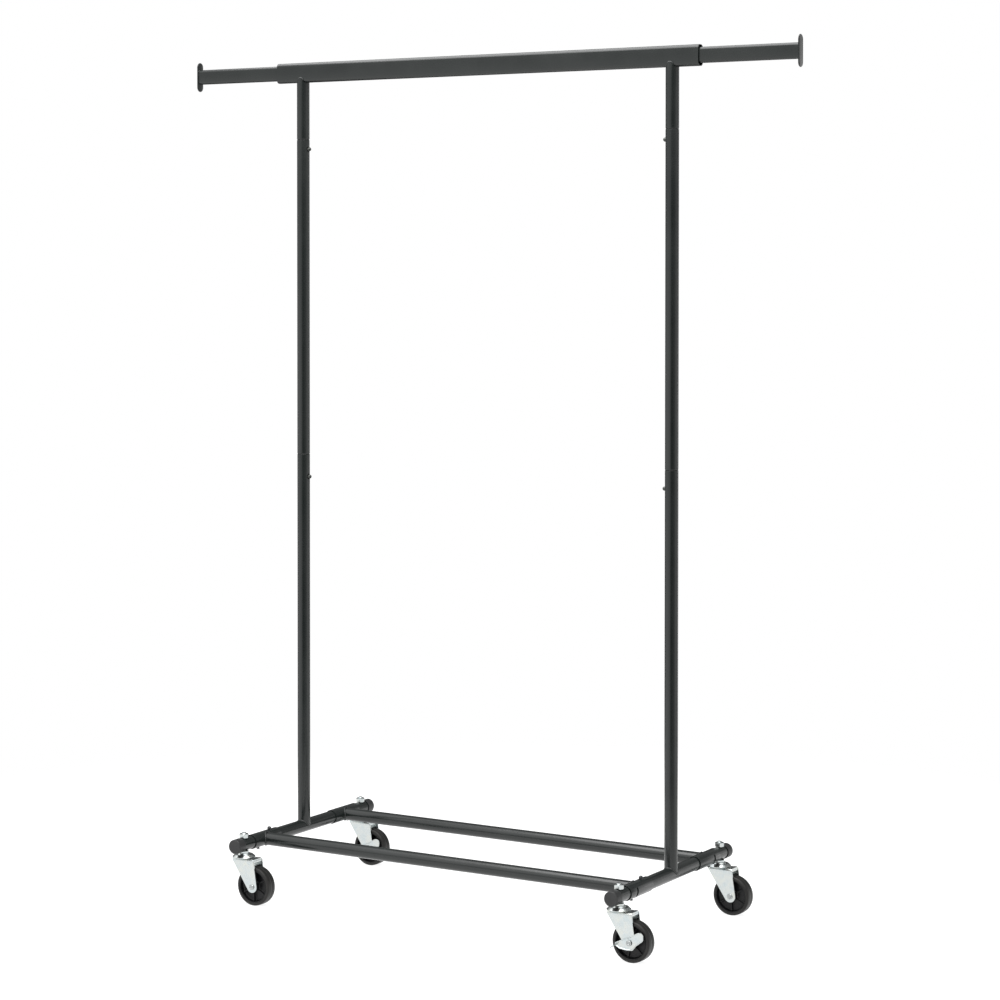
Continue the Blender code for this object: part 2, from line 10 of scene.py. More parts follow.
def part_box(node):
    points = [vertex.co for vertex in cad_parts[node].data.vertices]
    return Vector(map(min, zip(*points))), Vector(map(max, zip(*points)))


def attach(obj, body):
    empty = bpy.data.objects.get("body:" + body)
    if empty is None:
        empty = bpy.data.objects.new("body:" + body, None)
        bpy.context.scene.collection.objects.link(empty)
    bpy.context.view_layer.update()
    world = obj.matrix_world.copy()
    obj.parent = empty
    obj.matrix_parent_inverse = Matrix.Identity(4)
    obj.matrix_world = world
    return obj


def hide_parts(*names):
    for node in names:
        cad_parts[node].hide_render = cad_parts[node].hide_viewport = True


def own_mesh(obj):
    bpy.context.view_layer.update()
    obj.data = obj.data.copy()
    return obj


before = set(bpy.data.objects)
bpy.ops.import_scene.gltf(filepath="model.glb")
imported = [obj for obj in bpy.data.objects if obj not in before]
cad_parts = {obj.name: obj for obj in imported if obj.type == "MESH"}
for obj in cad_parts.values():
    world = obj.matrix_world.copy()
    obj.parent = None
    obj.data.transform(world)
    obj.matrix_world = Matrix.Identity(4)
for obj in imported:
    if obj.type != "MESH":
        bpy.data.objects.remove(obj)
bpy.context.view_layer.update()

SIDES = {"left": -1, "right": 1}
ENDS = {"front": -1, "back": 1}
X_AXIS, Y_AXIS, Z_AXIS = Vector((1, 0, 0)), Vector((0, 1, 0)), Vector((0, 0, 1))
ALONG_X = Matrix.Rotation(pi / 2, 4, "Y")
AGAINST_X = Matrix.Rotation(-pi / 2, 4, "Y")
ALONG_Y = Matrix.Rotation(-pi / 2, 4, "X")
TOWARDS_FRONT = Matrix.Rotation(pi / 2, 4, "X")
UPSIDE_DOWN = Matrix.Rotation(pi, 4, "X")


def low(node):
    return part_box(node)[0]


def high(node):
    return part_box(node)[1]


def middle(node):
    return (low(node) + high(node)) / 2


def size(node):
    return high(node) - low(node)


# Places and sizes read from the frame
POST_X = middle("right_middle_upright").x
TUBE_R = size("right_middle_upright").x / 2
BASE_Z = middle("front_left_end_cap").z
RAIL_Y = middle("back_base_rail").y
SLEEVE_R = high("back_base_rail").z - BASE_Z
SLEEVE_LENGTH = size("back_base_rail").y
CAP_R = size("front_left_end_cap").z / 2
CAP_LENGTH = size("front_left_end_cap").y
LOWER_SEAM_Z = high("left_lower_upright").z
UPPER_SEAM_Z = high("left_middle_upright").z
BAR_LOW, BAR_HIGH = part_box("hang_bar")
BAR_HEIGHT = size("hang_bar").z
BAR_DEPTH = size("hang_bar").y
BAR_Z = middle("hang_bar").z
LEG_TOP_Z = high("left_bar_leg").z
WHEEL_R = middle("front_left_caster_wheel").z
CASTER_Y = abs(middle("front_left_caster_nut").y)
TRAIL = middle("front_left_caster_wheel").x - middle("front_left_caster_nut").x

# Sizes of the tubes and the bar that a node's box doesn't give
GAP = 0.0003
TUBE_WALL = 0.0012
TUBE_BORE_R = TUBE_R - TUBE_WALL
SPIGOT_R = TUBE_BORE_R - GAP
SPIGOT_BORE_R = SPIGOT_R - TUBE_WALL
TUBE_RIM = 0.0004
NECK_R = TUBE_R - 0.0011
NECK_LENGTH = 0.0018
BAR_CORNER = 0.007
ARM_CORNER = 0.0055
BEAD_R = 0.0017
RIPPLE = 6  # points of a weld's path to one of its scales

# Snap buttons and their springs
BUTTON_R = 0.004
BUTTON_FLANGE_R = 0.005
BUTTON_FLANGE = 0.001
BUTTON_HOLE_R = 0.005
HOLE_DEPTH = 0.012  # of a cutter, half of it under the surface
SPRING_SHEET = 0.0008
SPRING_PAD_HALF = 0.006
SPRING_BEND = 0.0022

# Slots of the sleeves and the pins in them
SLOT_WIDTH = 0.0056
SLOT_FROM, SLOT_TO = radians(-102), radians(20)
PIN_SHANK_R = 0.0024
PIN_HEAD_R = 0.0033
PIN_HEAD = 0.0022

# Casters
SHEET = 0.0025
CROWN_FRONT, CROWN_BACK = -0.0185, 0.0335  # edges of the fork's crown, from the stem's axis
FORK_BEND = 0.003
LIP_DROP = 0.0055
LIP_BEND = 0.0025
COLLAR_R = 0.0105
COLLAR_HEIGHT = 0.0035
KINGPIN_R = 0.007
KINGPIN_HEAD_R = 0.011
STEM_R = 0.005
NUT_BORE_R = 0.0046
ROD_R = 0.003
RIVET_HEAD = 0.002
LEVER_SHEET = 0.002
TAB_SHEET = 0.0018
TAB_LENGTH = 0.010
TAB_WIDTH = 0.014

# Wheels
WHEEL_BORE_R = 0.0034
HUB_R = 0.009
RIM_R = 0.030
WEB_HALF = 0.0035
RIB_FACE = 0.0085
RIBS = 6
RIB_HALF = 0.002
# How far each wheel has rolled, in degrees
WHEEL_PHASE = {"front_left": 0, "front_right": -14, "back_left": 23, "back_right": 2}


# ---------------------------------------------------------------- mesh helpers


def at(x, y, z):
    return Matrix.Translation((x, y, z))


def filleted(points, steps=5):
    """A path through (x, y) or (x, y, radius) points, with an arc at each corner that has a radius."""
    path = []
    for i, point in enumerate(points):
        here = Vector(point[:2])
        if len(point) == 2:
            path.append(here)
            continue
        before = (Vector(points[i - 1][:2]) - here).normalized()
        after = (Vector(points[(i + 1) % len(points)][:2]) - here).normalized()
        half = before.angle(after) / 2
        centre = here + (before + after).normalized() * (point[2] / sin(half))
        first = here + before * (point[2] / tan(half)) - centre
        last = here + after * (point[2] / tan(half)) - centre
        start = atan2(first.y, first.x)
        sweep = (atan2(last.y, last.x) - start + pi) % (2 * pi) - pi
        for k in range(steps + 1):
            angle = start + sweep * k / steps
            path.append(centre + point[2] * Vector((cos(angle), sin(angle))))
    return path


def rounded_rectangle(width, height, corner, steps=8):
    w, h = width / 2, height / 2
    corners = [(w, h, corner), (-w, h, corner), (-w, -h, corner), (w, -h, corner)]
    return filleted(corners, steps=steps)


def hexagon(radius):
    return [(radius * cos(pi * i / 3), radius * sin(pi * i / 3)) for i in range(6)]


def quarter_turn(steps=6):
    """The angles from 0 to a right angle, without 0."""
    return [pi / 2 * i / steps for i in range(1, steps + 1)]


def loft(bm, rows, cyclic=True, close=False):
    """Quads between rows of points. cyclic closes each row, close joins the last row to the first."""
    made = [[bm.verts.new(point) for point in row] for row in rows]
    pairs = list(zip(made, made[1:]))
    if close:
        pairs.append((made[-1], made[0]))
    for lower, upper in pairs:
        count = len(lower)
        for i in range(count if cyclic else count - 1):
            j = (i + 1) % count
            bm.faces.new((lower[i], lower[j], upper[j], upper[i]))
    return made


def turn(bm, profile, place, segments=64, closed=False):
    """Turns a profile of (radius, height) about local Z. A radius of 0 at an end closes it."""
    turns = [2 * pi * i / segments for i in range(segments)]
    body = [point for point in profile if point[0] > 0]
    rows = [[place @ Vector((r * cos(a), r * sin(a), h)) for a in turns] for r, h in body]
    made = loft(bm, rows, close=closed)
    for point, ring in ((profile[0], made[0]), (profile[-1], made[-1])):
        if point[0] > 0:
            continue
        tip = bm.verts.new(place @ Vector((0, 0, point[1])))
        for i in range(segments):
            bm.faces.new((ring[i], ring[(i + 1) % segments], tip))


def extrude(bm, outline, thickness, place):
    """A flat outline of (x, y) points given a thickness along local Z, about its place."""
    rows = [
        [place @ Vector((x, y, z)) for x, y in outline] for z in (-thickness / 2, thickness / 2)
    ]
    for ring in loft(bm, rows):
        bm.faces.new(ring)


def as_object(name, bm):
    bmesh.ops.recalc_face_normals(bm, faces=bm.faces)
    mesh = bpy.data.meshes.new(name)
    bm.to_mesh(mesh)
    bm.free()
    obj = bpy.data.objects.new(name, mesh)
    bpy.context.scene.collection.objects.link(obj)
    return obj


def smooth(obj, angle=32):
    obj.data.shade_smooth()
    obj.data.set_sharp_from_angle(angle=radians(angle))
    return obj


def soften(obj, width=0.0004, segments=2, angle=40):
    """Rounds an object's edges and applies that."""
    bevel = obj.modifiers.new("soften", "BEVEL")
    bevel.width = width
    bevel.segments = segments
    bevel.limit_method = "ANGLE"
    bevel.angle_limit = radians(angle)
    return applied(obj)


def applied(obj):
    evaluated = obj.evaluated_get(bpy.context.evaluated_depsgraph_get())
    mesh = bpy.data.meshes.new_from_object(evaluated)
    obj.modifiers.clear()
    old = obj.data
    obj.data = mesh
    bpy.data.meshes.remove(old)
    mesh.name = obj.name
    return obj


def thickened(obj, thickness, rounding=0.0005):
    """A sheet of the given thickness from a surface, with its edges softened."""
    sheet = obj.modifiers.new("sheet", "SOLIDIFY")
    sheet.thickness = thickness
    sheet.offset = 0
    applied(obj)
    return soften(obj, rounding, 3)


def join(target, other):
    """Adds another object's mesh to the target's and removes it."""
    bm = bmesh.new()
    bm.from_mesh(target.data)
    bm.from_mesh(other.data)
    bm.to_mesh(target.data)
    bm.free()
    bpy.data.objects.remove(other)


def carve(obj, cutters, operation="DIFFERENCE"):
    """Cuts, or joins, closed helper objects and removes them."""
    for cutter in cutters:
        modifier = obj.modifiers.new(cutter.name, "BOOLEAN")
        modifier.operation = operation
        modifier.object = cutter
    applied(obj)
    for cutter in cutters:
        bpy.data.objects.remove(cutter)
    return obj


def plug(radius, length, place, segments=32):
    """A closed cylinder about its place, to cut with."""
    bm = bmesh.new()
    bmesh.ops.create_cone(
        bm, cap_ends=True, segments=segments, radius1=radius, radius2=radius, depth=length
    )
    bm.transform(place)
    return as_object("cutter", bm)


def finished(obj, material, body, slot, *nodes):
    """Gives a piece its material and its body, and hides the CAD nodes that it stands for. The slot is
    not used.
    """
    obj.data.materials.clear()
    obj.data.materials.append(material)
    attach(obj, body)
    if nodes:
        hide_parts(*nodes)
    return obj


def coated(obj, node, body="root", angle=32):
    """Finishes a powder-coated piece, which stands for one CAD node."""
    finished(smooth(obj, angle), COAT, body, "coating", node)


# ------------------------------------------------------------------- materials


class Nodes:
    """Short names for building a node tree."""

    def __init__(self, tree):
        self.tree = tree

    def add(self, kind):
        return self.tree.nodes.new(kind)

    def link(self, output, socket):
        self.tree.links.new(output, socket)

    def spread(self, value, low_in, high_in, low_out, high_out):
        """The value's range low_in to high_in, spread over low_out to high_out."""
        node = self.add("ShaderNodeMapRange")
        ranges = {"From Min": low_in, "From Max": high_in, "To Min": low_out, "To Max": high_out}
        for name, number in ranges.items():
            node.inputs[name].default_value = number
        self.link(value, node.inputs["Value"])
        return node.outputs["Result"]

    def calculated(self, operation, first, second):
        node = self.add("ShaderNodeMath")
        node.operation = operation
        for value, socket in ((first, node.inputs[0]), (second, node.inputs[1])):
            if isinstance(value, (int, float)):
                socket.default_value = value
            else:
                self.link(value, socket)
        return node.outputs[0]


class Surface(Nodes):
    """A material. Its patterns use the row frame's coordinates."""

    def __init__(self, name, colour, metallic, roughness):
        self.material = bpy.data.materials.new(name)
        self.material.use_nodes = True
        super().__init__(self.material.node_tree)
        self.shader = self.tree.nodes["Principled BSDF"]
        self.shader.inputs["Base Color"].default_value = (*colour, 1)
        self.shader.inputs["Metallic"].default_value = metallic
        self.shader.inputs["Roughness"].default_value = roughness
        self.place = self.add("ShaderNodeTexCoord").outputs["Object"]

    def noise(self, size, detail=3.0, stretch=(1, 1, 1)):
        """Noise whose blotches are about size metres wide, stretched along an axis if asked."""
        mapping = self.add("ShaderNodeMapping")
        mapping.inputs["Scale"].default_value = stretch
        self.link(self.place, mapping.inputs["Vector"])
        node = self.add("ShaderNodeTexNoise")
        node.inputs["Scale"].default_value = 1 / size
        node.inputs["Detail"].default_value = detail
        node.inputs["Roughness"].default_value = 0.55
        self.link(mapping.outputs["Vector"], node.inputs["Vector"])
        return node.outputs["Fac"]

    def colours(self, value, stops):
        """A colour for each value: stops are (value, (r, g, b))."""
        node = self.add("ShaderNodeValToRGB")
        ramp = node.color_ramp
        while len(ramp.elements) < len(stops):
            ramp.elements.new(1.0)
        for element, (position, colour) in zip(ramp.elements, stops):
            element.position = position
            element.color = (*colour, 1)
        self.link(value, node.inputs["Fac"])
        return node.outputs["Color"]

    def mix(self, share, output, colour):
        """The output's colour, mixed with a share of another colour."""
        node = self.add("ShaderNodeMix")
        node.data_type = "RGBA"
        sockets = {socket.identifier: socket for socket in (*node.inputs, *node.outputs)}
        self.link(share, sockets["Factor_Float"])
        self.link(output, sockets["A_Color"])
        sockets["B_Color"].default_value = (*colour, 1)
        return sockets["Result_Color"]

    def bumps(self, *layers):
        """Bump layers of (height, depth in metres), one on another, into the shader's normal."""
        normal = None
        for height, depth in layers:
            node = self.add("ShaderNodeBump")
            node.inputs["Strength"].default_value = 1.0
            node.inputs["Distance"].default_value = depth
            self.link(height, node.inputs["Height"])
            if normal is not None:
                self.link(normal, node.inputs["Normal"])
            normal = node.outputs["Normal"]
        self.link(normal, self.shader.inputs["Normal"])

    def paint(self, output):
        self.link(output, self.shader.inputs["Base Color"])

    def gloss(self, output):
        self.link(output, self.shader.inputs["Roughness"])


def powder_coat():
    """Dark grey powder coat: a fine orange peel, faint cloudiness and a thin shine."""
    nodes = Surface("powder_coat", (0.0075, 0.0095, 0.009), 0.0, 0.22)
    clouds = nodes.noise(0.09, 4)
    peel = nodes.noise(0.0011, 2)
    grit = nodes.noise(0.0004, 2)
    shade = nodes.colours(
        clouds, [(0.3, (0.0055, 0.0076, 0.0072)), (0.7, (0.0088, 0.0112, 0.0106))]
    )
    fleck = nodes.spread(grit, 0.62, 0.72, 0.0, 0.3)
    nodes.paint(nodes.mix(fleck, shade, (0.025, 0.029, 0.028)))
    nodes.gloss(nodes.spread(clouds, 0.3, 0.7, 0.19, 0.26))
    nodes.bumps((peel, 0.00002), (grit, 0.000006))
    return nodes.material


def bright_zinc():
    """Bright zinc plate on pressed steel: bluish, with warm patches and fine rolling lines."""
    nodes = Surface("bright_zinc", (0.52, 0.55, 0.545), 1.0, 0.24)
    patches = nodes.noise(0.012, 3)
    grain = nodes.noise(0.0016, 3, stretch=(1, 1, 0.15))
    nodes.paint(
        nodes.colours(
            patches,
            [(0.3, (0.47, 0.52, 0.53)), (0.5, (0.52, 0.55, 0.545)), (0.75, (0.56, 0.57, 0.53))],
        )
    )
    nodes.gloss(nodes.spread(grain, 0.3, 0.7, 0.20, 0.29))
    nodes.bumps((grain, 0.000006))
    return nodes.material


def marked(name, metallic, mark_size, colours, shine, depth, stretch=(1, 1, 1)):
    """A surface with small marks, which change its colour and its roughness."""
    nodes = Surface(name, colours[0][1], metallic, sum(shine) / 2)
    marks = nodes.noise(mark_size, 3, stretch)
    nodes.paint(nodes.colours(marks, colours))
    nodes.gloss(nodes.spread(marks, 0.3, 0.7, *shine))
    nodes.bumps((marks, depth))
    return nodes.material


def weld_coat():
    """The powder coat where it runs over a weld: a little glossier and lumpier."""
    colours = [(0.3, (0.007, 0.009, 0.009)), (0.75, (0.016, 0.018, 0.0175))]
    return marked("weld_coat", 0.0, 0.0016, colours, (0.24, 0.4), 0.00012)


def black_steel():
    """Blackened steel of the pins and the buttons that lock the base."""
    colours = [(0.3, (0.02, 0.021, 0.023)), (0.8, (0.06, 0.062, 0.064))]
    return marked("black_steel", 0.6, 0.0015, colours, (0.24, 0.38), 0.00002)


def button_steel():
    """The dull grey steel of the snap buttons on the uprights."""
    colours = [(0.3, (0.05, 0.053, 0.05)), (0.75, (0.09, 0.094, 0.088))]
    return marked("button_steel", 1.0, 0.0009, colours, (0.2, 0.34), 0.00001)


def rivet_zinc_painted_shade():
    """Zinc of the rivets, painted duller and darker than the fork's as painted shade for the dark ring
    round each rolled head.
    """
    colours = [(0.3, (0.31, 0.33, 0.33)), (0.75, (0.46, 0.475, 0.47))]
    return marked("rivet_zinc_painted_shade", 1.0, 0.0011, colours, (0.28, 0.42), 0.00002)


def spring_steel():
    """Bright spring strip with a grain along it."""
    colours = [(0.3, (0.34, 0.35, 0.38)), (0.7, (0.5, 0.5, 0.5))]
    return marked("spring_steel", 1.0, 0.0008, colours, (0.25, 0.4), 0.00001, (0.2, 1, 1))


def moulded_plastic(name, dark, light, roughness, grain_size, grain_depth, specular=0.5):
    """Injection moulded plastic with a spark-eroded grain and a faint bloom."""
    nodes = Surface(name, dark, 0.0, roughness)
    nodes.shader.inputs["Specular IOR Level"].default_value = specular
    bloom = nodes.noise(0.02, 4)
    grain = nodes.noise(grain_size, 2)
    nodes.paint(nodes.colours(bloom, [(0.3, dark), (0.75, light)]))
    nodes.gloss(nodes.spread(grain, 0.3, 0.7, roughness - 0.06, roughness + 0.06))
    nodes.bumps((grain, grain_depth))
    return nodes.material


COAT = powder_coat()
WELD = weld_coat()
ZINC = bright_zinc()
BLACK_STEEL = black_steel()
BUTTON = button_steel()
SPRING = spring_steel()
# The rivets' zinc is painted darker: painted shade for the dark ring round their heads.
RIVET = rivet_zinc_painted_shade()
CAP = moulded_plastic(
    "cap_plastic", (0.008, 0.0083, 0.0088), (0.015, 0.0155, 0.016), 0.5, 0.0009, 0.00004
)
GLIDE = moulded_plastic(
    "glide_plastic", (0.012, 0.012, 0.013), (0.02, 0.02, 0.021), 0.4, 0.0006, 0.00001
)
WHEEL = moulded_plastic(
    "wheel_plastic", (0.0034, 0.0036, 0.0042), (0.0068, 0.007, 0.0077), 0.32, 0.0007, 0.000015, 0.25
)
TREAD = moulded_plastic(
    "wheel_tread", (0.0055, 0.0054, 0.005), (0.015, 0.0145, 0.0132), 0.44, 0.0012, 0.00003, 0.3
)


# -------------------------------------------------------------- welds and tubes


def weld(name, path, radius, ripple, body, *nodes, closed=True, segments=14):
    """A weld bead along a path of (point, way out) pairs: a tube with the scales of a hand weld."""
    bm = bmesh.new()
    rows = []
    count = len(path)
    for i, (point, outward) in enumerate(path):
        before = path[i - 1][0] if closed or i else point
        after = path[(i + 1) % count][0] if closed or i < count - 1 else point
        along = (after - before).normalized()
        across = along.cross(outward).normalized()
        out = across.cross(along)
        phase = i % ripple / ripple
        swell = radius * (0.86 + 0.2 * sin(pi * phase) + 0.05 * sin(i * 1.7))
        if not closed:
            swell *= min(1.0, 0.35 + 2.2 * min(i, count - 1 - i) / count)
        turns = [2 * pi * k / segments for k in range(segments)]
        rows.append([point + swell * (cos(a) * across + sin(a) * out) for a in turns])
    made = loft(bm, rows, close=closed)
    if not closed:
        bm.faces.new(made[0])
        bm.faces.new(made[-1])
    return finished(smooth(as_object(name, bm), 80), WELD, body, "coating", *nodes)


def saddle_path(centre, axis_out, thick_axis, thin_r, thick_r, count=120):
    """Where a thin tube that leaves along axis_out meets a thick one along thick_axis."""
    side = axis_out.cross(thick_axis)
    path = []
    for i in range(count):
        angle = 2 * pi * i / count
        a, b = thin_r * cos(angle), thin_r * sin(angle)
        rise = sqrt(max(0.0, thick_r**2 - a**2))
        point = centre + side * a + thick_axis * b + axis_out * rise
        outward = (side * a + thick_axis * b).normalized() + axis_out
        path.append((point, outward.normalized()))
    return path


def plain_tube(name, half, place):
    """A tube of the rack's gauge, cut square, along local Z about its place."""
    profile = [(TUBE_R, -half), (TUBE_R, half), (TUBE_BORE_R, half), (TUBE_BORE_R, -half)]
    bm = bmesh.new()
    turn(bm, profile, place, closed=True)
    return as_object(name, bm)


def base_rail(end):
    """A rail, its two slotted sleeves and the weld beads that join them."""
    y = ENDS[end] * RAIL_Y
    node = f"{end}_base_rail"
    into_sleeve = 0.002
    rail = plain_tube(
        f"{end}_rail_tube", POST_X - SLEEVE_R + into_sleeve, at(0, y, BASE_Z) @ ALONG_X
    )
    coated(rail, node)
    for side, sign in SIDES.items():
        sleeve(end, side, node)
        centre = Vector((sign * POST_X, y, BASE_Z))
        path = saddle_path(centre, -sign * X_AXIS, Y_AXIS, TUBE_R, SLEEVE_R)
        weld(f"{end}_{side}_rail_weld", path, BEAD_R, RIPPLE, "root", node)


def sleeve(end, side, node):
    """The sleeve that a base tube turns in, counterbored at its ends, slotted for the guide pin."""
    x, y = SIDES[side] * POST_X, ENDS[end] * RAIL_Y
    half = SLEEVE_LENGTH / 2
    bore, mouth, depth = TUBE_R + GAP, SLEEVE_R - 0.0006, 0.008
    step, lip = 0.001, 0.0003
    profile = filleted(
        [
            (SLEEVE_R, half, lip),
            (SLEEVE_R, -half, lip),
            (mouth, -half),
            (mouth, -half + depth),
            (bore, -half + depth + step),
            (bore, half - depth - step),
            (mouth, half - depth),
            (mouth, half),
        ]
    )
    bm = bmesh.new()
    turn(bm, profile, at(x, y, BASE_Z) @ ALONG_Y, segments=96, closed=True)
    piece = as_object(f"{end}_{side}_sleeve", bm)
    cutters = slot_cutters(end, side)
    if end == "front":
        button = middle(f"{side}_sleeve_button")
        cutters.append(plug(BUTTON_HOLE_R, HOLE_DEPTH, at(button.x, button.y, BASE_Z + SLEEVE_R)))
    carve(piece, cutters)
    coated(piece, node)


def slot_cutters(end, side):
    """A curved slot with round ends, from under the pin to a little above the outer side."""
    pin = f"{end}_{side}_guide_pin"
    sign = SIDES[side]
    past_sleeve, count = SLEEVE_R * 1.4, 24
    turns = [SLOT_FROM + (SLOT_TO - SLOT_FROM) * i / count for i in range(count + 1)]
    sector = [(0, 0)] + [(sign * past_sleeve * cos(a), past_sleeve * sin(a)) for a in turns]
    bm = bmesh.new()
    centre = at(sign * POST_X, middle(pin).y, BASE_Z)
    extrude(bm, sector, SLOT_WIDTH, centre @ TOWARDS_FRONT)
    cutters = [as_object("cutter", bm)]
    for angle, width in ((SLOT_FROM, max(SLOT_WIDTH, size(pin).x + 2 * GAP)), (SLOT_TO, SLOT_WIDTH)):
        out = Vector((sign * cos(angle), 0, sin(angle)))
        place = centre @ at(*(out * SLEEVE_R)) @ out.to_track_quat("Z", "Y").to_matrix().to_4x4()
        cutters.append(plug(width / 2, HOLE_DEPTH, place))
    return cutters


def base_tube(side):
    """The tube across the base under an upright, with its lock button's hole."""
    node = f"{side}_base_tube"
    tube = plain_tube(f"{side}_foot_tube", high(node).y, at(SIDES[side] * POST_X, 0, BASE_Z) @ ALONG_Y)
    button = middle(f"{side}_sleeve_button")
    carve(tube, [plug(BUTTON_HOLE_R, HOLE_DEPTH, at(button.x, button.y, BASE_Z + TUBE_R))])
    coated(tube, node)


def end_cap(end, side):
    """A plastic cup over the end of a base tube, with a soft edge and a dished face."""
    node = f"{end}_{side}_end_cap"
    bore, mouth, floor = TUBE_R + GAP, CAP_R - 0.0004, 0.002
    dish, dish_edge = 0.0006, 0.0003
    profile = filleted(
        [
            (0.0, CAP_LENGTH - dish),
            (CAP_R - 0.0036, CAP_LENGTH - dish_edge),
            (CAP_R, CAP_LENGTH, 0.0016),
            (CAP_R, 0, 0.0003),
            (mouth, 0),
            (bore, 0.003),
            (bore, CAP_LENGTH - floor),
            (0.0, CAP_LENGTH - floor),
        ]
    )
    x = SIDES[side] * POST_X
    if end == "back":
        place = at(x, high(node).y - CAP_LENGTH, BASE_Z) @ ALONG_Y
    else:
        place = at(x, low(node).y + CAP_LENGTH, BASE_Z) @ TOWARDS_FRONT
    bm = bmesh.new()
    turn(bm, profile, place)
    finished(smooth(as_object(f"{end}_{side}_plastic_cap", bm)), CAP, "root", "cap", node)


def guide_pin(end, side):
    """A round-headed pin under the base tube, which runs in the sleeve's slot."""
    node = f"{end}_{side}_guide_pin"
    centre = middle(node)
    top = size(node).z
    profile = filleted(
        [
            (0.0, top),
            (PIN_HEAD_R * 0.75, top - 0.0002, 0.001),
            (PIN_HEAD_R, top - 0.0010, 0.0006),
            (PIN_HEAD_R, top - PIN_HEAD, 0.0003),
            (PIN_SHANK_R, top - PIN_HEAD),
            (PIN_SHANK_R, 0.0),
            (0.0, 0.0),
        ]
    )
    bm = bmesh.new()
    turn(bm, profile, at(centre.x, centre.y, high(node).z) @ UPSIDE_DOWN, segments=40)
    piece = smooth(as_object(f"{end}_{side}_slot_pin", bm))
    finished(piece, BLACK_STEEL, "root", "black_button", node)


# ------------------------------------------------------------------ uprights


def button_hole(side, level):
    """A cutter for a snap button's hole in the inner side of an upright."""
    z = middle(f"{side}_{level}_button").z
    return plug(BUTTON_HOLE_R, HOLE_DEPTH, at(SIDES[side] * (POST_X - TUBE_R), 0, z) @ ALONG_X)


def lower_tube(side):
    """The tube that is welded on the base tube."""
    node = f"{side}_lower_upright"
    foot = Vector((SIDES[side] * POST_X, 0, BASE_Z))
    profile = filleted(
        [
            (TUBE_R, LOWER_SEAM_Z, TUBE_RIM),
            (TUBE_R, BASE_Z),
            (TUBE_BORE_R, BASE_Z),
            (TUBE_BORE_R, LOWER_SEAM_Z, TUBE_RIM),
        ]
    )
    bm = bmesh.new()
    turn(bm, profile, at(foot.x, 0, 0), closed=True)
    tube = as_object(f"{side}_lower_tube", bm)
    sunk = 0.0002
    saddle = plug(TUBE_R - sunk, 0.08, at(*foot) @ ALONG_Y, 96)
    carve(tube, [saddle, button_hole(side, "lower")])
    coated(tube, node)
    path = saddle_path(foot, Z_AXIS, Y_AXIS, TUBE_R, TUBE_R)
    weld(f"{side}_post_weld", path, BEAD_R, RIPPLE, "root", node)


def spigot_tube(name, side, seam, bottom, top):
    """A tube with a swaged spigot, which goes down into the tube below its seam."""
    base = seam + GAP
    profile = filleted(
        [
            (TUBE_R, top, TUBE_RIM),
            (TUBE_R, base + NECK_LENGTH, 0.0005),
            (NECK_R, base, TUBE_RIM),
            (SPIGOT_R, base),
            (SPIGOT_R, bottom, TUBE_RIM),
            (SPIGOT_BORE_R, bottom),
            (SPIGOT_BORE_R, base + 0.002),
            (TUBE_BORE_R, base + 0.004),
            (TUBE_BORE_R, top, TUBE_RIM),
        ]
    )
    bm = bmesh.new()
    turn(bm, profile, at(SIDES[side] * POST_X, 0, 0), closed=True)
    return as_object(name, bm)


def middle_tube(side):
    """The tube between the two seams, with a button hole near each."""
    node = f"{side}_middle_upright"
    tube = spigot_tube(f"{side}_middle_tube", side, LOWER_SEAM_Z, low(node).z, UPPER_SEAM_Z)
    carve(tube, [button_hole(side, "lower"), button_hole(side, "upper")])
    coated(tube, node)


def top_tube(side):
    """The bar's leg, notched to take the bar, with a rounded lip up each face of it."""
    node = f"{side}_bar_leg"
    x = SIDES[side] * POST_X
    through = 0.05
    tube = spigot_tube(f"{side}_top_tube", side, UPPER_SEAM_Z, low(node).z, LEG_TOP_Z)
    bm = bmesh.new()
    notch = rounded_rectangle(BAR_HEIGHT + 2 * GAP, BAR_DEPTH + 2 * GAP, BAR_CORNER)
    extrude(bm, notch, through, at(x, 0, BAR_Z) @ ALONG_X)
    carve(tube, [as_object("cutter", bm), button_hole(side, "upper")])
    lip_half = sqrt(TUBE_R**2 - (BAR_DEPTH / 2) ** 2)
    wide, shoulder, under = 2 * TUBE_R, BAR_LOW.z + 0.0005, low(node).z - 0.01
    taper = 0.0006
    arch = filleted(
        [
            (-wide, under),
            (wide, under),
            (wide, shoulder),
            (lip_half, shoulder, 0.0008),
            (lip_half - taper, LEG_TOP_Z, 0.004),
            (-lip_half + taper, LEG_TOP_Z, 0.004),
            (-lip_half, shoulder, 0.0008),
            (-wide, shoulder),
        ]
    )
    bm = bmesh.new()
    extrude(bm, arch, through, at(x, 0, 0) @ TOWARDS_FRONT)
    carve(tube, [as_object("cutter", bm)], "INTERSECT")
    coated(tube, node)
    lip_welds(side, x, lip_half)


def lip_welds(side, x, lip_half):
    """The short beads where the lips of the notch are welded to the bar's faces."""
    half_width, half_height, proud = lip_half - 0.0012, 0.0048, 0.0004
    count, first, last = 40, radians(-10), radians(190)
    turns = [first + (last - first) * i / (count - 1) for i in range(count)]
    for end, sign in ENDS.items():
        face = sign * (BAR_DEPTH / 2 + proud)
        middle_z = LEG_TOP_Z - half_height
        path = [
            (Vector((x + half_width * cos(a), face, middle_z + half_height * sin(a))), sign * Y_AXIS)
            for a in turns
        ]
        weld(f"{side}_{end}_lip_weld", path, 0.0015, 7, "root", f"{side}_bar_leg", closed=False)


